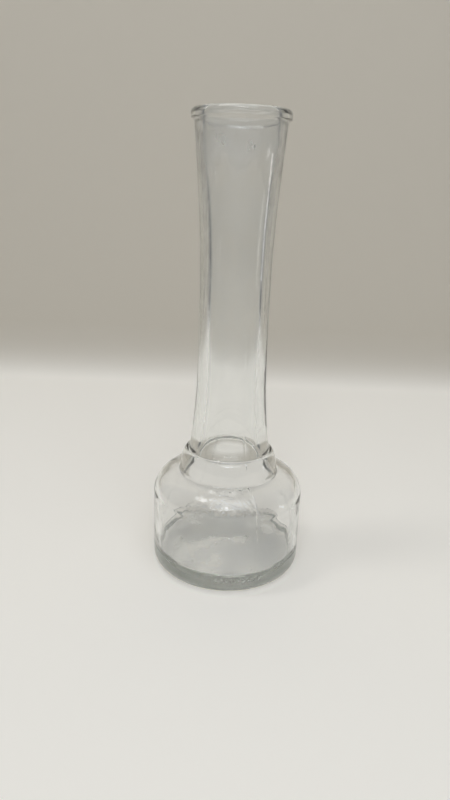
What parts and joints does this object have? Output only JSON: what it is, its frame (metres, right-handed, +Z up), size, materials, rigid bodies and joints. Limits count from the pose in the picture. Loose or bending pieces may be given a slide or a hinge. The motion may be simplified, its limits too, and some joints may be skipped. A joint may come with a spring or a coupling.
{
  "type": "glass bud vase",
  "caption": "Clear glass bud vase: low round body, collar ring, tall waisted neck and a square-edged rounded lip.",
  "frame": {"origin": "centre of the foot, on the surface that the vase stands on", "axes": "+Z up along the axis of the vase, -Y towards the front"},
  "size_m": [0.07, 0.0704, 0.203],
  "materials": {
    "clear_glass": "clear moulded soda glass, faint grey-green in its thick places"
  },
  "bodies": {
    "root": {"base": "clear_glass", "body_wall": "clear_glass", "shoulder": "clear_glass", "collar_ring": "clear_glass", "neck_lower": "clear_glass", "neck_upper": "clear_glass", "lip": "clear_glass"}
  },
  "joints": []
}
